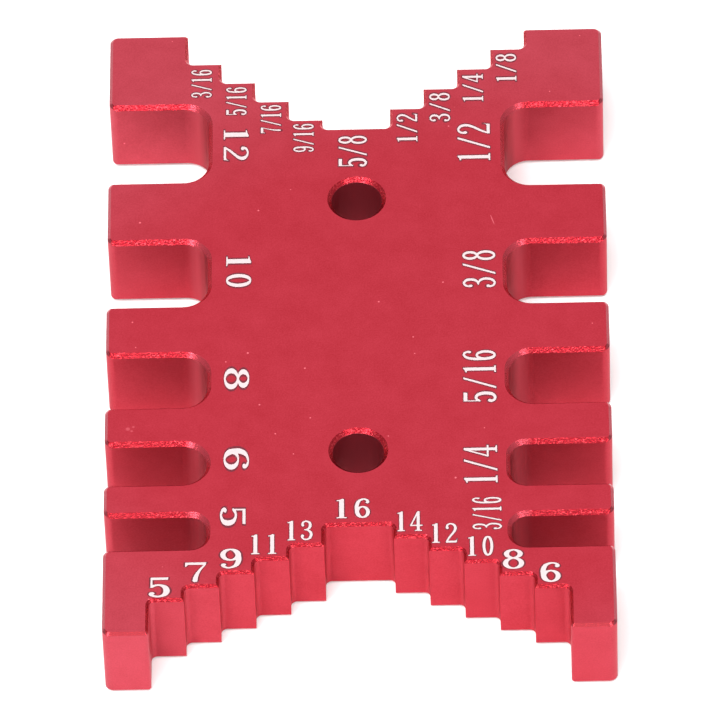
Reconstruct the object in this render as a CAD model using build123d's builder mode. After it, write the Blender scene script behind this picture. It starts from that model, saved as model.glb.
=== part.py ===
from build123d import *

import os

# slot and step gauge milled from one block; millimetres, +Z up, lying on its
# lower face with the inch steps at +Y and the metric slots at -X
inch = 25.4
length = 95.0
width = 60.0
thickness = 10.6
corner_radius = 1.0
outline_chamfer = 0.35
chamfer_angle = 45

# slots in the two long sides, listed from the +Y end; the tooth before each
# slot is as wide as the slot
metric_slots = [12.0, 10.0, 8.0, 6.0, 5.0]
inch_slots = [inch / 2, 3 * inch / 8, 5 * inch / 16, inch / 4, 3 * inch / 16]
slot_depth = 12.1
end_radius = 3.0
narrow_end_radius = 2.0
narrow_end_slots = [5.0, inch / 4, 3 * inch / 16]
slot_mouth_radius = 1.0

# steps in the two ends, listed outwards from the deep one in the middle; each
# is one pitch wide, and the middle one is two
step_pitch = 4.1
step_corner_radius = 0.7
notch_mouth_radius = 0.4
metric_middle = 16.0
metric_left = [metric_middle - 3 - 2 * i for i in range(5)]
metric_right = [metric_middle - 2 - 2 * i for i in range(5)]
inch_middle = 5 * inch / 8
inch_left = [inch_middle - (2 * i + 1) * inch / 16 for i in range(4)]
inch_right = [inch_middle - (2 * i + 2) * inch / 16 for i in range(4)]

# two through holes on the middle line; slots and holes have a wider chamfer
# than the outline
hole_diameter = 6.1
hole_spacing = 40.0
opening_chamfer = 0.5


def slot_places():
    """Side, middle Y and width of every slot."""
    for side, slots in ((-1, metric_slots), (1, inch_slots)):
        tooth_start = length / 2
        for slot in slots:
            yield side, tooth_start - 1.5 * slot, slot
            tooth_start -= 2 * slot


def draw_slots():
    """Slots with their rounded inner ends, drawn on past the side."""
    for side, y, slot in slot_places():
        radius = narrow_end_radius if slot in narrow_end_slots else end_radius
        with Locations((side * width / 2, y)):
            if slot > 2 * radius:
                RectangleRounded(2 * slot_depth, slot, radius)
            else:
                SlotOverall(2 * slot_depth, slot)


def draw_mouth(x, y, facing, opening, radius):
    """Widening of a slot or notch at the outline, which rounds its two outer corners."""
    with Locations(Location((x, y, 0), (0, 0, facing))):
        Rectangle(2 * radius, opening + 2 * radius)
        corner_y = opening / 2 + radius
        with Locations((-radius, -corner_y), (-radius, corner_y)):
            Circle(radius, mode=Mode.SUBTRACT)


def draw_mouths():
    """Mouths of the slots in the two sides and of the notches in the two ends."""
    for side, y, slot in slot_places():
        draw_mouth(side * width / 2, y, 90 - side * 90, slot, slot_mouth_radius)
    for end, steps in ((-1, metric_left), (1, inch_left)):
        opening = 2 * step_pitch * (len(steps) + 1)
        draw_mouth(0, end * length / 2, end * 90, opening, notch_mouth_radius)


def draw_holes():
    """Both through holes."""
    with GridLocations(0, hole_spacing, 1, 2):
        Circle(hole_diameter / 2)


def draw_notches():
    """Stepped notch of each end; every step runs in over the deeper middle."""
    ends = (
        (-1, metric_middle, metric_left, metric_right),
        (1, inch_middle, inch_left, inch_right),
    )
    for end, middle, left, right in ends:
        with Locations((0, end * length / 2)):
            RectangleRounded(2 * step_pitch, 2 * middle, step_corner_radius)
        for side, depths in ((-1, left), (1, right)):
            reach = step_pitch
            for depth in depths:
                reach += step_pitch
                with Locations((side * reach / 2, end * length / 2)):
                    RectangleRounded(reach, 2 * depth, step_corner_radius)


def in_the_outline(edge):
    """True for an edge of the upper or lower face that is not a hole's."""
    box = edge.bounding_box()
    flat = box.max.Z - box.min.Z < 0.001
    outer = box.min.Z < 0.001 or box.max.Z > thickness - 0.001
    return flat and outer and not edge.is_closed


with BuildPart() as gauge_block:
    with BuildSketch():
        RectangleRounded(width, length, corner_radius)
    extrude(amount=thickness)
    with BuildSketch():
        draw_slots()
        draw_notches()
        draw_mouths()
        draw_holes()
    extrude(amount=thickness, mode=Mode.SUBTRACT)
    chamfer(gauge_block.edges().filter_by(in_the_outline), outline_chamfer)

    # slots and holes open out to both faces, the upper one first
    for z, way in ((thickness - opening_chamfer, 1), (opening_chamfer, -1)):
        with BuildSketch(Plane.XY.offset(z)):
            draw_slots()
            draw_holes()
        extrude(
            amount=way * opening_chamfer,
            taper=-chamfer_angle,
            mode=Mode.SUBTRACT,
        )

gauge_block.part.label = "gauge_block"

os.makedirs("parts", exist_ok=True)
export_step(gauge_block.part, "parts/gauge_block.step")
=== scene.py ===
import functools
import math

import bmesh
import bpy
import numpy as np
from mathutils import Matrix, Vector
from mathutils.geometry import tessellate_polygon


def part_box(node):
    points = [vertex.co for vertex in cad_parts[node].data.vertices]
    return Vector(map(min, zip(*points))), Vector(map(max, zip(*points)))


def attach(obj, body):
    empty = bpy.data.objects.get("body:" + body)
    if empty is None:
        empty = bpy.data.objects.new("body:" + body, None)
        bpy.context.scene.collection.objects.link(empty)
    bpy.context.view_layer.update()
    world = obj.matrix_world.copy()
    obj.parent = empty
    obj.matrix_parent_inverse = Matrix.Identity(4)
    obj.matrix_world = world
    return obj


MM = 0.001

# millimetres: middle of the through holes on the Y axis, and just over their radius
HOLE_PLACE = 20.0
HOLE_RADIUS = 3.07

# millimetres from the middle: where the edge breaks of the long sides and of the
# ends start
SIDE_REACH = 29.6
END_REACH = 47.1

# millimetres from the middle: towards the slots' inner ends a painted highlight band and then
# painted shade, each from the first X to the second; slots lie outside one X and inside one Y
SLOT_END_HIGHLIGHT = (20.6, 19.6)
SLOT_END_SHADE = (19.4, 18.2)
SLOTS_INNER_X = 17.0
SLOTS_OUTER_Y = 37.0

# the cutter's streaks there run up and down; they leave at least this share, and
# grow from one noise value to the other
STREAK_STRETCH = (1, 1, 0.03)
STREAK_LEAST = 0.55
STREAK_FADE = (0.3, 0.7)

# a painted reflection pales the dye outwards from this middle, in millimetres, by these reaches;
# it starts and is full at these shares of them
PALE_MIDDLE = (11.0, -8.0, 0.0)
PALE_REACH = (55.0, 50.0, 1000.0)
PALE_START = 0.65
PALE_FULL = 1.08

# small pale marks of use: place and radius of each speck, on the upper face apart
# from one on a wall; a spot is at its full strength within this share of its radius
SPOT_CORE = 0.4
SPECKS = [
    (-26.1, 16.76, 0.17), (-13.08, -4.42, 0.17), (11.43, -24.56, 0.17), (-11.68, -12.6, 0.15),
    (-11.85, 18.36, 0.14), (-6.3, -7.0, 0.14), (10.26, 6.25, 0.14), (2.56, 3.32, 0.14),
    (-9.8, -17.19, 0.13), (-26.86, 0.81, 0.13), (-15.69, -5.76, 0.12), (-26.44, -3.2, 0.11),
    (-7.66, -20.39, 0.11), (3.56, -17.89, 0.11), (6.78, -4.99, 0.11), (23.54, 36.92, 0.11),
    (14.93, -16.89, 0.1), (27.37, 46.08, 0.1),
]
WALL_SPECK = (-28.42, 35.5, 4.27)
WALL_SPECK_RADIUS = 0.14

# a fainter smudge of three spots, and a scratch by its two ends and half its width;
# it is at full strength within this share of the extra path at its border
SMUDGE = [(-27.25, -16.02, 0.34), (-26.6, -15.72, 0.2), (-26.8, -16.35, 0.2)]
SMUDGE_SHARE = 0.35
SCRATCH_ENDS = ((16.08, 16.92), (16.52, 15.38))
SCRATCH_HALF_WIDTH = 0.075
SCRATCH_CORE = 0.3
SCRATCH_SHARE = 0.65

# finest specks: cells to the metre, and the distances from a cell's point, in
# cells, at which a speck starts and is full
FINE_SPECK_SCALE = 280
FINE_SPECK_FADE = (0.036, 0.016)

# height of a face's unit normal: under the first the face is upright, and from
# the first to the second it slopes
UPRIGHT = 0.3
LEVEL = 0.95

# bump strength of the edge breaks, along the slots and on the outline's straight sides
ROUGH_EDGE = 0.4
SMOOTH_EDGE = 0.1

# roughness of the faces and of the edge breaks
FACE_ROUGHNESS = 0.55
EDGE_ROUGHNESS = 0.24

# share of the blasted grain in the dye's tone, beside broader clouds, and the noise
# values between which the cutter's marks turn bright
GRAIN_SHARE = 0.6
CUT_FADE = (0.46, 0.7)

# noise scales, in features to the metre
GRAIN_SCALE = 5200
CLOUD_SCALE = 300
CUT_SCALE = 4800
STREAK_SCALE = 2200
MARKING_SCALE = 4000

# base colours; the grain runs from the first to the second of a pair
INNER_DYE = ((0.375, 0.009, 0.018, 1), (0.63, 0.059, 0.092, 1))
# the dye paled by a painted reflection, for the ends and far corners
SHEEN_PAINTED_DYE = ((0.375, 0.025, 0.037, 1), (0.68, 0.094, 0.136, 1))
# a painted highlight band, and painted shade deeper in, at the slots' inner ends
PAINTED_HIGHLIGHT_SLOT_END = (0.51, 0.057, 0.081, 1)
PAINTED_SHADE_SLOT_END = (0.29, 0.023, 0.033, 1)
EDGE = ((0.40, 0.012, 0.024, 1), (0.72, 0.064, 0.083, 1))
SLOT_END_EDGE = (0.58, 0.06, 0.085, 1)
END_EDGE = (0.55, 0.05, 0.068, 1)
# darker and greyer edge breaks along the long sides: painted shade
SHADED_SIDE_EDGE = (0.42, 0.073, 0.094, 1)
# darker inside the through holes: painted shade
PAINTED_HOLE_SHADE = (0.38, 0.038, 0.056, 1)
SPECK = (0.93, 0.20, 0.25, 1)
MARKING = ((0.54, 0.43, 0.435, 1), (0.65, 0.53, 0.54, 1))
MARKING_RIM = ((0.13, 0.018, 0.03, 1), (0.24, 0.028, 0.045, 1))

# the photograph's view, in metres and degrees
CAMERA_PLACE = (0.01863, -0.82448, 0.94586)
CAMERA_TURN = (41.183, 1.3756, -0.2868)
CAMERA_LENS = 522.8
SENSOR = 36.0

# softboxes aimed at the block: name, place, width and height in metres, and watts
SOFTBOXES = [
    ("key", (-0.25, -0.58, 1.38), 0.9, 0.7, 23.5),
    ("left", (-0.5, -0.68, 0.66), 0.16, 0.16, 1.2),
    ("right", (0.5, -0.68, 0.66), 0.16, 0.16, 0.9),
]

# grey of the surround at the horizon and overhead, which starts at this height of
# a ray's unit direction
HORIZON = (0.176, 0.176, 0.176, 1)
OVERHEAD = (0.965, 0.965, 0.965, 1)
OVERHEAD_START = 0.7

# metres, apart from the floor's drop under the block; a share of the floor
# glows, which keeps the background white
FLOOR_RADIUS = 2.6
RIM_CURVE = 0.35
FLOOR_DROP = 0.05
FLOOR_COLOUR = (0.9, 0.9, 0.9, 1)
FLOOR_SHARE = 0.12
FLOOR_GLOW = 2.0
CURVE_STEPS = 8
ROUND_STEPS = 96

# size marks: a nib that is wide across and thin up and down draws the digits,
# in a cell one step of the line wide and one digit high
NIB_WIDE = 0.105
NIB_THIN = 0.04
CELL_GRID = 96
CELL_MARGIN = 0.12
OUTLINE_SLACK = 0.0025

# an outline with fewer points than this before it is thinned is a stray gap
SHORTEST_OUTLINE = 12

# millimetres that digits and rims stand above the face, and reach into it
MARK_RISE = 0.012
RIM_RISE = 0.006
MARK_ROOT = 0.05

# text, centre x and y, length of the line; millimetres on the upper face
NEAR_MARKS = [
    ("5", -23.35, -40.55, 2.6), ("7", -19.1, -38.35, 2.6), ("9", -15.0, -36.35, 2.6),
    ("11", -11.15, -34.25, 3.0), ("13", -6.9, -32.25, 3.0), ("16", -0.65, -29.0, 4.0),
    ("14", 6.0, -31.15, 3.0), ("12", 10.05, -33.05, 3.0), ("10", 14.25, -35.15, 3.0),
    ("8", 18.05, -37.25, 2.6), ("6", 22.35, -39.35, 2.45),
]
METRIC_SLOT_MARKS = [
    ("12", -14.55, 29.05, 5.1), ("10", -14.2, 8.55, 5.0), ("8", -14.4, -8.45, 3.5),
    ("6", -14.4, -21.0, 3.5), ("5", -14.8, -29.9, 3.0),
]
INCH_SLOT_MARKS = [
    ("1/2", 14.2, 28.85, 6.1), ("3/8", 14.6, 8.25, 6.0), ("5/16", 14.45, -8.8, 8.25),
    ("1/4", 14.4, -22.5, 5.9),
]
NARROW_INCH_SLOT_MARKS = [("3/16", 15.05, -30.15, 5.0)]
FAR_MARKS = [
    ("3/16", -18.8, 39.3, 4.6), ("5/16", -14.55, 36.3, 4.6), ("7/16", -10.35, 33.25, 4.6),
    ("9/16", -6.4, 30.05, 4.6), ("1/2", 6.15, 31.4, 4.6), ("3/8", 10.15, 34.65, 4.75),
    ("1/4", 14.2, 37.8, 4.55), ("1/8", 18.3, 41.0, 4.55),
]
MIDDLE_FAR_MARKS = [("5/8", -0.45, 27.7, 5.1)]
# name, marks, digit height, turn of the line in degrees, and how far the digits
# and their dark rims reach beyond the drawn line, in nib sizes; marks of another
# height have a row of their own under the same name
MARK_GROUPS = [
    ("near_step", NEAR_MARKS, 3.05, 0, -0.17, 0.42),
    ("metric_slot", METRIC_SLOT_MARKS, 3.05, -90, -0.2, 0.5),
    ("inch_slot", INCH_SLOT_MARKS, 4.0, 90, -0.2, 0.5),
    ("inch_slot", NARROW_INCH_SLOT_MARKS, 3.5, 90, -0.2, 0.5),
    ("far_step", FAR_MARKS, 2.52, 90, -0.18, 1.0),
    ("far_step", MIDDLE_FAR_MARKS, 3.5, 90, -0.2, 0.8),
]


def ring(x, y, half_width, half_height, steps=16):
    """Closed oval path for the nib."""
    angles = [2 * math.pi * k / steps for k in range(steps + 1)]
    return [(x + half_width * math.cos(a), y + half_height * math.sin(a)) for a in angles]


def half_turned(glyph):
    """The same glyph turned by 180 degrees about the middle of its cell."""
    return {
        "paths": [[(1 - p[0], 1 - p[1]) + tuple(p[2:]) for p in path] for path in glyph["paths"]],
        "balls": [(1 - x, 1 - y, w, h) for x, y, w, h in glyph.get("balls", [])],
    }


# paths are points the nib is drawn through, with its share of the full size
# where it isn't 1; balls are ovals; slabs are straight-sided outlines
GLYPHS = {
    "0": {"paths": [ring(0.5, 0.5, 0.25, 0.466)]},
    "1": {"slabs": [[
        (0.24, 0.0), (0.76, 0.0), (0.76, 0.055), (0.63, 0.07), (0.63, 1.0), (0.5, 1.0),
        (0.41, 0.955), (0.25, 0.93), (0.25, 0.88), (0.37, 0.88), (0.37, 0.07), (0.24, 0.055),
    ]]},
    "2": {
        "paths": [[
            (0.2, 0.8, 0.7), (0.27, 0.915, 0.85), (0.47, 0.966), (0.68, 0.89), (0.755, 0.74),
            (0.68, 0.57, 0.95), (0.5, 0.4, 0.85), (0.32, 0.23, 0.75), (0.19, 0.07, 0.6),
        ]],
        "balls": [(0.235, 0.755, 0.115, 0.075)],
        "slabs": [[
            (0.125, 0.0), (0.84, 0.0), (0.885, 0.235), (0.845, 0.235), (0.8, 0.13),
            (0.72, 0.105), (0.2, 0.105), (0.125, 0.05),
        ]],
    },
    "3": {
        "paths": [
            [(0.2, 0.8, 0.7), (0.27, 0.915, 0.85), (0.46, 0.966), (0.65, 0.9), (0.71, 0.765),
             (0.65, 0.62), (0.5, 0.545, 0.9), (0.38, 0.53, 0.8)],
            [(0.38, 0.53, 0.8), (0.53, 0.515, 0.9), (0.7, 0.43), (0.765, 0.285), (0.68, 0.11),
             (0.47, 0.034), (0.26, 0.075, 0.85), (0.17, 0.18, 0.7)],
        ],
        "balls": [(0.235, 0.76, 0.11, 0.07), (0.215, 0.225, 0.12, 0.075)],
    },
    "4": {"slabs": [
        [(0.56, 1.0), (0.735, 1.0), (0.735, 0.065), (0.88, 0.055), (0.88, 0.0), (0.38, 0.0),
         (0.38, 0.055), (0.51, 0.065), (0.51, 0.94)],
        [(0.07, 0.25), (0.07, 0.29), (0.56, 1.0), (0.69, 1.0), (0.19, 0.25)],
        [(0.07, 0.25), (0.92, 0.25), (0.92, 0.32), (0.07, 0.32)],
    ]},
    "5": {
        "paths": [[
            (0.2, 0.505, 0.65), (0.3, 0.59, 1.05), (0.47, 0.617, 1.25), (0.67, 0.535, 1.25),
            (0.75, 0.335, 1.3), (0.68, 0.13, 1.25), (0.46, 0.042, 1.2), (0.25, 0.08, 1.05),
            (0.16, 0.165, 0.8),
        ]],
        "balls": [(0.215, 0.2, 0.12, 0.075)],
        "slabs": [
            [(0.15, 1.0), (0.83, 1.0), (0.81, 0.87), (0.25, 0.87), (0.25, 0.55),
             (0.145, 0.475)],
        ],
    },
    "6": {
        "paths": [
            [(0.77, 0.835, 0.7), (0.69, 0.93, 0.85), (0.53, 0.966), (0.33, 0.87),
             (0.235, 0.66, 1.05), (0.225, 0.45, 1.05), (0.26, 0.25, 1.05), (0.36, 0.09, 1.0),
             (0.5, 0.034)],
            ring(0.5, 0.305, 0.265, 0.271),
        ],
        "balls": [(0.735, 0.8, 0.1, 0.07)],
    },
    "7": {
        "paths": [[
            (0.83, 0.9, 0.35), (0.69, 0.7, 0.5), (0.57, 0.48, 0.7), (0.5, 0.27, 0.9),
            (0.475, 0.09, 1.0),
        ]],
        "slabs": [
            [(0.115, 1.0), (0.88, 1.0), (0.88, 0.945), (0.8, 0.86), (0.24, 0.875),
             (0.175, 0.78), (0.115, 0.78)],
        ],
        "balls": [(0.474, 0.085, 0.105, 0.085)],
    },
    "8": {"paths": [ring(0.5, 0.765, 0.235, 0.201), ring(0.5, 0.29, 0.275, 0.256)]},
    "/": {"slabs": [[(0.06, 0.0), (0.235, 0.0), (0.94, 1.0), (0.765, 1.0)]]},
}
GLYPHS["9"] = half_turned(GLYPHS["6"])


def spline_through(points, steps=24):
    """Points of a smooth curve through the given ones, each with its nib share."""
    knots = np.array([tuple(p) if len(p) == 3 else (*p, 1.0) for p in points])
    closed = np.allclose(knots[0], knots[-1])
    before = knots[-2] if closed else 2 * knots[0] - knots[1]
    after = knots[1] if closed else 2 * knots[-1] - knots[-2]
    knots = np.vstack([before, knots, after])
    t = np.linspace(0, 1, steps, endpoint=False)[:, None]
    spans = []
    for a, b, c, d in zip(knots, knots[1:], knots[2:], knots[3:]):
        spans.append(
            0.5 * (2 * b + (c - a) * t + (2 * a - 5 * b + 4 * c - d) * t ** 2
                   + (3 * b - 3 * c + d - a) * t ** 3)
        )
    return np.vstack(spans + [knots[-2:-1]])


def slab_field(outline, x, y):
    """Signed distance to a straight-sided outline, in nib sizes."""
    nib = np.array([NIB_WIDE, NIB_THIN])
    corners = np.array(outline) / nib
    px, py = x / nib[0], y / nib[1]
    nearest = np.full(x.shape, np.inf)
    inside = np.zeros(x.shape, bool)
    for (ax, ay), (bx, by) in zip(corners, np.roll(corners, -1, axis=0)):
        run, rise = bx - ax, by - ay
        share = np.clip(((px - ax) * run + (py - ay) * rise) / (run ** 2 + rise ** 2), 0, 1)
        nearest = np.minimum(nearest, np.hypot(px - ax - share * run, py - ay - share * rise))
        if ay != by:
            inside ^= ((ay > py) != (by > py)) & (px < ax + run * (py - ay) / rise)
    return np.where(inside, -nearest, nearest)


def glyph_field(glyph, x, y):
    """Below zero inside the glyph, above zero outside it."""
    field = np.full(x.shape, np.inf)
    for path in glyph.get("paths", []):
        for px, py, share in spline_through(path):
            away = np.hypot((x - px) / (NIB_WIDE * share), (y - py) / (NIB_THIN * share))
            field = np.minimum(field, away - 1)
    for bx, by, half_width, half_height in glyph.get("balls", []):
        away = np.hypot((x - bx) / half_width, (y - by) / half_height)
        field = np.minimum(field, away - 1)
    for outline in glyph.get("slabs", []):
        field = np.minimum(field, slab_field(outline, x, y))
    return field


def border_loops(field):
    """Closed borders of the region below zero, as row and column numbers."""
    inside = field < 0
    corner_sum = (
        inside[:-1, :-1].astype(int) + inside[1:, :-1] + inside[:-1, 1:] + inside[1:, 1:]
    )
    links = {}
    # each crossed cell joins the sides that its border cuts, two by two
    for row, column in np.argwhere((corner_sum > 0) & (corner_sum < 4)):
        corners = [
            (row, column), (row, column + 1), (row + 1, column + 1), (row + 1, column)
        ]
        sides = zip(corners, corners[1:] + corners[:1])
        cuts = [tuple(sorted(side)) for side in sides if inside[side[0]] != inside[side[1]]]
        middle_inside = np.mean([field[corner] for corner in corners]) < 0
        if len(cuts) == 4 and inside[corners[0]] != middle_inside:
            cuts = cuts[1:] + cuts[:1]
        for a, b in zip(cuts[::2], cuts[1::2]):
            links.setdefault(a, []).append(b)
            links.setdefault(b, []).append(a)
    # the border crosses a side where the field, taken as straight, is zero
    loops = []
    while links:
        here, last = next(iter(links)), None
        loop = []
        while here in links:
            a, b = here
            share = field[a] / (field[a] - field[b])
            loop.append(np.array(a) + share * (np.array(b) - np.array(a)))
            ways = links.pop(here)
            here, last = (ways[1] if ways[0] == last else ways[0]), here
        loops.append(np.array(loop))
    return loops


def thinned(loop, slack):
    """The loop without points that lie within slack of the lines that are kept."""
    kept = [0]
    for end in range(2, len(loop)):
        start = loop[kept[-1]]
        line = loop[end] - start
        size = max(np.hypot(*line), 1e-9)
        skipped = loop[kept[-1] + 1:end] - start
        off = np.abs(skipped[:, 0] * line[1] - skipped[:, 1] * line[0]) / size
        if off.max() > slack:
            kept.append(end - 1)
    kept.append(len(loop) - 1)
    return loop[kept]


def glyph_outlines(glyph, border):
    """Outlines of a glyph in its cell, moved out from the drawn line by border."""
    ticks = np.arange(-CELL_MARGIN, 1 + CELL_MARGIN, 1 / CELL_GRID)
    x, y = np.meshgrid(ticks, ticks)
    field = glyph_field(glyph, x, y) - border
    loops = []
    for loop in border_loops(field):
        if len(loop) < SHORTEST_OUTLINE:
            continue
        place = np.column_stack([loop[:, 1], loop[:, 0]]) / CELL_GRID - CELL_MARGIN
        loops.append(thinned(place, OUTLINE_SLACK))
    return loops


@functools.cache
def alphabet(border):
    """Outlines of every glyph, moved out from the drawn line by border."""
    return {digit: glyph_outlines(glyph, border) for digit, glyph in GLYPHS.items()}


def set_out(text, border):
    """Outlines of each digit of a text, side by side in cells."""
    outlines = alphabet(border)
    return [[loop + (step, 0) for loop in outlines[digit]] for step, digit in enumerate(text)]


def placed_digits(text, border, centre, size, turn):
    """Digits stretched so that their drawn lines have the size, and turned to their line."""
    cos = math.cos(math.radians(turn))
    sin = math.sin(math.radians(turn))
    rotate = np.array([[cos, sin], [-sin, cos]])
    drawn = np.vstack([loop for loops in set_out(text, 0) for loop in loops])
    low, high = drawn.min(0), drawn.max(0)
    stretch = np.array(size) / (high - low)
    return [
        [(loop - (low + high) / 2) * stretch @ rotate + centre for loop in loops]
        for loops in set_out(text, border)
    ]


def new_object(name, data):
    """An object with the given mesh, lamp or camera, in the scene."""
    obj = bpy.data.objects.new(name, data)
    bpy.context.scene.collection.objects.link(obj)
    return obj


def mark_mesh(name, digits, top, rise):
    """Closed flat digits, sunk a little into the face; top is in metres, unlike the rest."""
    places = [p for loops in digits for loop in loops for p in loop]
    count = len(places)
    faces = []
    first = 0
    for loops in digits:
        flat = [[Vector((x, y, 0)) for x, y in loop] for loop in loops]
        for triangle in tessellate_polygon(flat):
            a, b, c = [first + corner for corner in triangle]
            faces += [(a, b, c), (count + c, count + b, count + a)]
        for loop in loops:
            for k in range(len(loop)):
                a, b = first + k, first + (k + 1) % len(loop)
                faces.append((a, count + a, count + b, b))
            first += len(loop)
    upper = [(x * MM, y * MM, top + rise * MM) for x, y in places]
    lower = [(x * MM, y * MM, top - MARK_ROOT * MM) for x, y in places]
    mesh = bpy.data.meshes.new(name)
    mesh.from_pydata(upper + lower, [], faces)
    shape = bmesh.new()
    shape.from_mesh(mesh)
    bmesh.ops.recalc_face_normals(shape, faces=shape.faces)
    shape.to_mesh(mesh)
    shape.free()
    return mesh


def make_mark(name, digits, top, rise, material):
    """One size mark, or the dark rim under it."""
    mark = new_object(name, mark_mesh(name, digits, top, rise))
    mark.data.materials.append(material)
    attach(mark, "root")


def make_marks(top, white, dark):
    """All the size marks and their rims, each a piece of its own."""
    for group, marks, height, turn, fill_border, rim_border in MARK_GROUPS:
        for text, x, y, length in marks:
            name = f"{group}_{text.replace('/', '_')}"
            place = ((x, y), (length, height), turn)
            fill = placed_digits(text, fill_border, *place)
            make_mark(f"mark_{name}", fill, top, MARK_RISE, white)
            rim = placed_digits(text, rim_border, *place)
            make_mark(f"rim_{name}", rim, top, RIM_RISE, dark)


def add(tree, kind, values=None, **settings):
    """A node with its input values and settings."""
    node = tree.nodes.new("ShaderNode" + kind)
    for key, value in settings.items():
        setattr(node, key, value)
    for key, value in (values or {}).items():
        node.inputs[key].default_value = value
    return node


def plug(tree, node, inputs):
    """Sets each named input to a number or colour, or links it to a socket."""
    for key, value in inputs.items():
        if isinstance(value, bpy.types.NodeSocket):
            tree.links.new(value, node.inputs[key])
        else:
            node.inputs[key].default_value = value
    return node


def maths(tree, operation, a, b=0.0):
    """Result of one sum on two sockets or numbers."""
    node = add(tree, "Math", operation=operation)
    return plug(tree, node, {0: a, 1: b}).outputs[0]


def mixed(tree, factor, a, b):
    """Colour between a and b."""
    node = add(tree, "Mix", data_type="RGBA")
    return plug(tree, node, {"Factor": factor, "A": a, "B": b}).outputs["Result"]


def faded(tree, value, start, end, smooth="SMOOTHSTEP"):
    """0 where the value is at start, 1 where it is at end, and between them a blend."""
    node = add(tree, "MapRange", {"From Min": start, "From Max": end}, interpolation_type=smooth)
    return plug(tree, node, {"Value": value}).outputs["Result"]


def noise(tree, place, scale, detail=2.0, roughness=0.5):
    """Noise from 0 to 1, with scale features to the metre."""
    values = {"Scale": scale, "Detail": detail, "Roughness": roughness}
    return plug(tree, add(tree, "TexNoise", values), {"Vector": place}).outputs["Fac"]


def distance(tree, place, point):
    """Distance from a point given in millimetres."""
    node = add(tree, "VectorMath", {1: [c * MM for c in point]}, operation="DISTANCE")
    return plug(tree, node, {0: place}).outputs["Value"]


def new_material(name):
    """A material with only a principled shader, and its tree and shader."""
    material = bpy.data.materials.new(name)
    material.use_nodes = True
    tree = material.node_tree
    tree.nodes.clear()
    shader = add(tree, "BsdfPrincipled")
    output = add(tree, "OutputMaterial")
    tree.links.new(shader.outputs[0], output.inputs["Surface"])
    return material, tree, shader


def normal_height(tree):
    """Height of the face's unit normal: 0 on an upright face and 1 on a level one."""
    split = add(tree, "SeparateXYZ")
    tree.links.new(add(tree, "NewGeometry").outputs["True Normal"], split.inputs[0])
    return maths(tree, "ABSOLUTE", split.outputs["Z"])


def edge_mask(tree):
    """1 on the sloping edge breaks, 0 on upright and level faces."""
    height = normal_height(tree)
    off_upright = maths(tree, "GREATER_THAN", height, UPRIGHT)
    return maths(tree, "MULTIPLY", off_upright, maths(tree, "LESS_THAN", height, LEVEL))


def upright_mask(tree):
    """1 on upright faces, 0 on the others."""
    return maths(tree, "LESS_THAN", normal_height(tree), UPRIGHT)


def from_middle(tree, place, axis):
    """Distance from the middle of the block along an axis."""
    parts = plug(tree, add(tree, "SeparateXYZ"), {0: place})
    return maths(tree, "ABSOLUTE", parts.outputs[axis])


def beyond(tree, place, axis, reach):
    """1 where the distance from the middle along an axis is over the reach."""
    return maths(tree, "GREATER_THAN", from_middle(tree, place, axis), reach * MM)


def drilled_mask(tree, place):
    """1 inside the two through holes, which lie alike on both sides of the middle."""
    across = from_middle(tree, place, "X")
    along = from_middle(tree, place, "Y")
    flat = plug(tree, add(tree, "CombineXYZ"), {"X": across, "Y": along}).outputs[0]
    from_axis = distance(tree, flat, (0, HOLE_PLACE, 0))
    return maths(tree, "LESS_THAN", from_axis, HOLE_RADIUS * MM)


def painted_sheen_mask(tree, place):
    """Share of the painted reflection: grows from 0 around its pale middle to 1 at the ends and
    corners far from it.
    """
    away = add(tree, "VectorMath", {1: [c * MM for c in PALE_MIDDLE]}, operation="SUBTRACT")
    plug(tree, away, {0: place})
    shares = add(tree, "VectorMath", {1: [r * MM for r in PALE_REACH]}, operation="DIVIDE")
    plug(tree, shares, {0: away.outputs[0]})
    length = plug(tree, add(tree, "VectorMath", operation="LENGTH"), {0: shares.outputs[0]})
    return faded(tree, length.outputs["Value"], PALE_START, PALE_FULL)


def slot_end_mask(tree, place, start, full):
    """Grows from 0 at start to 1 at full, towards the inner ends of the slots, where highlight
    and shade are painted.
    """
    inward = faded(tree, from_middle(tree, place, "X"), start * MM, full * MM)
    outside = maths(tree, "MULTIPLY", inward, beyond(tree, place, "X", SLOTS_INNER_X))
    inside = maths(tree, "SUBTRACT", 1.0, beyond(tree, place, "Y", SLOTS_OUTER_Y))
    return maths(tree, "MULTIPLY", outside, inside)


def streaked(tree, place, mask):
    """The mask on upright faces, with the streaks that the cutter leaves up and down."""
    drawn_out = add(tree, "VectorMath", {1: STREAK_STRETCH}, operation="MULTIPLY")
    plug(tree, drawn_out, {0: place})
    lines = noise(tree, drawn_out.outputs[0], STREAK_SCALE)
    streaks = faded(tree, lines, *STREAK_FADE, smooth="LINEAR")
    varying = maths(tree, "MULTIPLY", streaks, 1 - STREAK_LEAST)
    share = maths(tree, "ADD", varying, STREAK_LEAST)
    return maths(tree, "MULTIPLY", maths(tree, "MULTIPLY", upright_mask(tree), mask), share)


def spot_mask(tree, place, point, radius):
    """1 in a small soft spot round a point, in millimetres."""
    away = distance(tree, place, point)
    return faded(tree, away, start=radius * MM, end=SPOT_CORE * radius * MM)


def scratch_mask(tree, place, top):
    """1 along the scratch, at a height in millimetres."""
    start, end = [(x, y, top) for x, y in SCRATCH_ENDS]
    # both legs to the ends are together as long as the scratch, along it only, and
    # longer the farther it is away
    legs = maths(tree, "ADD", distance(tree, place, start), distance(tree, place, end))
    length = math.dist(start, end)
    at_border = math.hypot(length, 2 * SCRATCH_HALF_WIDTH)
    at_core = length + SCRATCH_CORE * (at_border - length)
    return faded(tree, legs, start=at_border * MM, end=at_core * MM)


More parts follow.
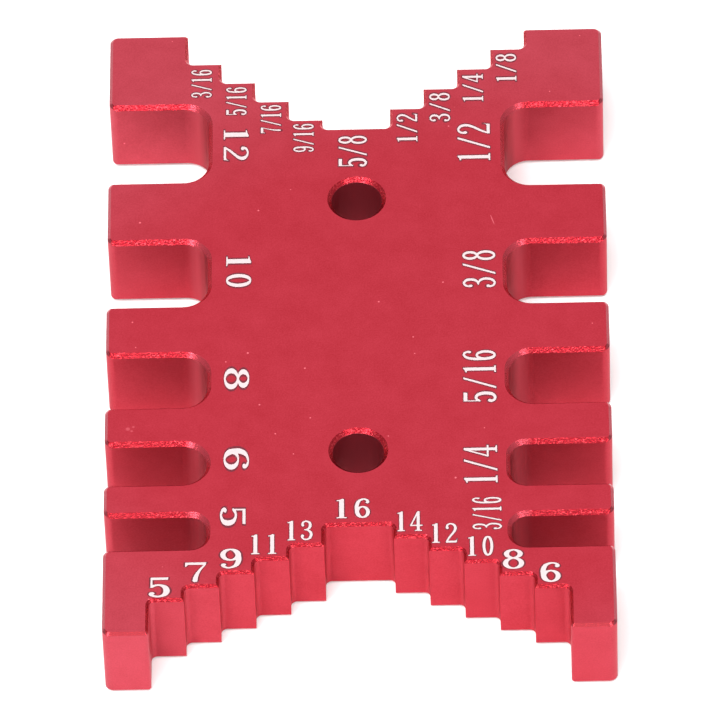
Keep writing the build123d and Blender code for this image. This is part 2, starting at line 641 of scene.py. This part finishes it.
def speck_mask(tree, place, top):
    """Marks of use at a height in millimetres, and finer specks on all but upright faces."""
    cells = add(tree, "TexVoronoi", {"Scale": FINE_SPECK_SCALE})
    plug(tree, cells, {"Vector": place})
    scatter = faded(tree, cells.outputs["Distance"], *FINE_SPECK_FADE)
    mask = maths(tree, "MULTIPLY", scatter, maths(tree, "SUBTRACT", 1.0, upright_mask(tree)))
    spots = [spot_mask(tree, place, (x, y, top), radius) for x, y, radius in SPECKS]
    spots.append(spot_mask(tree, place, WALL_SPECK, WALL_SPECK_RADIUS))
    for x, y, radius in SMUDGE:
        spot = spot_mask(tree, place, (x, y, top), radius)
        spots.append(maths(tree, "MULTIPLY", spot, SMUDGE_SHARE))
    spots.append(maths(tree, "MULTIPLY", scratch_mask(tree, place, top), SCRATCH_SHARE))
    for spot in spots:
        mask = maths(tree, "MAXIMUM", mask, spot)
    return mask


def face_colour(tree, place, grain, highlight_band):
    """Dye that is a little uneven, with a painted reflection that pales it outwards, and a
    painted highlight band and painted shade in the slots' inner ends.
    """
    cloud = noise(tree, place, CLOUD_SCALE, detail=4, roughness=0.65)
    fine = maths(tree, "MULTIPLY", grain, GRAIN_SHARE)
    tone = maths(tree, "ADD", fine, maths(tree, "MULTIPLY", cloud, 1 - GRAIN_SHARE))
    inner = mixed(tree, tone, *INNER_DYE)
    outer = mixed(tree, tone, *SHEEN_PAINTED_DYE)
    # painted reflection: paler dye towards the ends and far corners
    face = mixed(tree, painted_sheen_mask(tree, place), inner, outer)
    # painted highlight band where the slots' inner ends begin, and painted shade deeper in
    face = mixed(tree, streaked(tree, place, highlight_band), face, PAINTED_HIGHLIGHT_SLOT_END)
    painted_shade = slot_end_mask(tree, place, *SLOT_END_SHADE)
    return mixed(tree, streaked(tree, place, painted_shade), face, PAINTED_SHADE_SLOT_END)


def edge_colour(tree, cut, highlight_band, side, end):
    """Edge breaks with the cutter's marks, plainer at the ends and slot ends, and darker and
    greyer along the long sides, which is painted shade.
    """
    colour = mixed(tree, faded(tree, cut, *CUT_FADE), *EDGE)
    colour = mixed(tree, highlight_band, colour, SLOT_END_EDGE)
    colour = mixed(tree, end, colour, END_EDGE)
    # painted shade on the long sides' edge breaks
    return mixed(tree, side, colour, SHADED_SIDE_EDGE)


def anodised_material(top):
    """Satin red anodised aluminium with brighter, rough-cut edge breaks."""
    material, tree, shader = new_material("red_anodised_aluminium")
    link = tree.links.new
    shader.inputs["Metallic"].default_value = 0.9
    place = add(tree, "TexCoord").outputs["Object"]
    edge = edge_mask(tree)
    side = beyond(tree, place, "X", SIDE_REACH)
    end = beyond(tree, place, "Y", END_REACH)
    # mask of the painted highlight band at the slots' inner ends
    highlight_band = slot_end_mask(tree, place, *SLOT_END_HIGHLIGHT)
    grain = noise(tree, place, GRAIN_SCALE, roughness=0.6)
    cut = noise(tree, place, CUT_SCALE, roughness=0.6)

    face = face_colour(tree, place, grain, highlight_band)
    colour = mixed(tree, edge, face, edge_colour(tree, cut, highlight_band, side, end))
    # painted shade inside the through holes
    colour = mixed(tree, drilled_mask(tree, place), colour, PAINTED_HOLE_SHADE)
    colour = mixed(tree, speck_mask(tree, place, top / MM), colour, SPECK)
    link(colour, shader.inputs["Base Color"])

    rough = add(tree, "Mix", {"A": FACE_ROUGHNESS, "B": EDGE_ROUGHNESS}, data_type="FLOAT")
    link(edge, rough.inputs["Factor"])
    link(rough.outputs["Result"], shader.inputs["Roughness"])

    # blasted grain all over, and the cutter's marks on the edge breaks
    fine = add(tree, "Bump", {"Strength": 0.22, "Distance": 0.03 * MM})
    link(grain, fine.inputs["Height"])
    coarse = add(tree, "Bump", {"Distance": 0.08 * MM})
    smooth = maths(tree, "MAXIMUM", side, end)
    eased = maths(tree, "MULTIPLY", smooth, ROUGH_EDGE - SMOOTH_EDGE)
    strength = maths(tree, "SUBTRACT", ROUGH_EDGE, eased)
    link(maths(tree, "MULTIPLY", edge, strength), coarse.inputs["Strength"])
    link(cut, coarse.inputs["Height"])
    link(fine.outputs[0], coarse.inputs["Normal"])
    link(coarse.outputs[0], shader.inputs["Normal"])
    return material


def marking_material():
    """Matt white marking with a slightly speckled surface."""
    material, tree, shader = new_material("white_marking")
    shader.inputs["Roughness"].default_value = 0.6
    place = add(tree, "TexCoord").outputs["Object"]
    speckle = noise(tree, place, MARKING_SCALE)
    tree.links.new(mixed(tree, speckle, *MARKING), shader.inputs["Base Color"])
    bump = add(tree, "Bump", {"Strength": 0.3, "Distance": 0.03 * MM})
    plug(tree, bump, {"Height": speckle})
    tree.links.new(bump.outputs[0], shader.inputs["Normal"])
    return material


def rim_material():
    """Dark border laid under and round the marking."""
    material, tree, shader = new_material("marking_rim")
    shader.inputs["Metallic"].default_value = 0.6
    shader.inputs["Roughness"].default_value = 0.5
    place = add(tree, "TexCoord").outputs["Object"]
    tone = mixed(tree, noise(tree, place, MARKING_SCALE), *MARKING_RIM)
    tree.links.new(tone, shader.inputs["Base Color"])
    return material


def background_ray(tree):
    """1 for the rays that show the background: straight, mirrored or through glass."""
    ray = add(tree, "LightPath")
    shown = maths(tree, "MAXIMUM", ray.outputs["Is Camera Ray"], ray.outputs["Is Glossy Ray"])
    return maths(tree, "MAXIMUM", shown, ray.outputs["Is Transmission Ray"])


def floor_material():
    """Matt white that also glows a little where it is the background."""
    material = bpy.data.materials.new("white_floor")
    material.use_nodes = True
    tree = material.node_tree
    tree.nodes.clear()
    link = tree.links.new
    matt = add(tree, "BsdfDiffuse", {"Color": FLOOR_COLOUR})
    white = add(tree, "Emission", {"Strength": FLOOR_GLOW})
    mix = add(tree, "MixShader")
    link(maths(tree, "MULTIPLY", background_ray(tree), FLOOR_SHARE), mix.inputs[0])
    link(matt.outputs[0], mix.inputs[1])
    link(white.outputs[0], mix.inputs[2])
    output = add(tree, "OutputMaterial")
    link(mix.outputs[0], output.inputs["Surface"])
    return material


def make_floor():
    """Plain white round floor that keeps a soft shadow and curves up at its rim."""
    curve = [math.radians(90 * k / CURVE_STEPS) for k in range(CURVE_STEPS + 1)]
    profile = [(0.0, 0.0)] + [
        (FLOOR_RADIUS + RIM_CURVE * math.sin(a), RIM_CURVE * (1 - math.cos(a))) for a in curve
    ]
    shape = bmesh.new()
    for radius, height in profile:
        shape.verts.new((radius, 0, height - FLOOR_DROP * MM))
    shape.verts.ensure_lookup_table()
    for a, b in zip(shape.verts, shape.verts[1:]):
        shape.edges.new((a, b))
    bmesh.ops.spin(
        shape, geom=shape.verts[:] + shape.edges[:], axis=(0, 0, 1), cent=(0, 0, 0),
        steps=ROUND_STEPS, angle=2 * math.pi,
    )
    bmesh.ops.remove_doubles(shape, verts=shape.verts, dist=0.1 * MM)
    for face in shape.faces:
        face.smooth = True
    mesh = bpy.data.meshes.new("floor")
    shape.to_mesh(mesh)
    shape.free()
    mesh.materials.append(floor_material())
    new_object("floor", mesh)


def make_world():
    """Soft surround, darker at the horizon than overhead."""
    world = bpy.data.worlds.new("studio")
    world.use_nodes = True
    tree = world.node_tree
    tree.nodes.clear()
    link = tree.links.new
    split = add(tree, "SeparateXYZ")
    link(add(tree, "TexCoord").outputs["Generated"], split.inputs[0])
    ramp = add(tree, "ValToRGB")
    low, high = ramp.color_ramp.elements
    low.position = 0.0
    low.color = HORIZON
    high.position = OVERHEAD_START
    high.color = OVERHEAD
    link(split.outputs["Z"], ramp.inputs["Fac"])
    light = add(tree, "Background", {"Strength": 1.0})
    link(ramp.outputs["Color"], light.inputs["Color"])
    output = add(tree, "OutputWorld")
    link(light.outputs[0], output.inputs["Surface"])
    bpy.context.scene.world = world


def make_softbox(name, place, width, height, power):
    """Soft rectangular lamp aimed at the middle of the floor."""
    lamp = bpy.data.lights.new(name, "AREA")
    lamp.shape = "RECTANGLE"
    lamp.size = width
    lamp.size_y = height
    lamp.energy = power
    obj = new_object(name, lamp)
    turn = (-Vector(place)).to_track_quat("-Z", "Y").to_matrix().to_4x4()
    obj.matrix_world = Matrix.Translation(place) @ turn


def make_camera():
    """The photograph's camera."""
    camera = bpy.data.cameras.new("camera")
    camera.lens = CAMERA_LENS
    camera.sensor_width = SENSOR
    camera.clip_start = 0.05
    camera.clip_end = 20.0
    obj = new_object("camera", camera)
    obj.location = CAMERA_PLACE
    obj.rotation_euler = [math.radians(angle) for angle in CAMERA_TURN]
    bpy.context.scene.camera = obj


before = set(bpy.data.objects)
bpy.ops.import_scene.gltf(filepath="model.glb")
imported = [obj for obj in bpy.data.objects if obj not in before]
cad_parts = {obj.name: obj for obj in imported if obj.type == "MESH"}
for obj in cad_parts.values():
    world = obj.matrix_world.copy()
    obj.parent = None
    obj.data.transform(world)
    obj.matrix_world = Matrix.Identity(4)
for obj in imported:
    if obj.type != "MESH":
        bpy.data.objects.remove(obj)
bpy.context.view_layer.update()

make_camera()
make_world()
for softbox in SOFTBOXES:
    make_softbox(*softbox)
make_floor()
bpy.context.scene.view_settings.view_transform = "Standard"

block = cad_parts["gauge_block"]
block_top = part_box("gauge_block")[1].z
block.material_slots[0].material = anodised_material(block_top)
make_marks(block_top, marking_material(), rim_material())
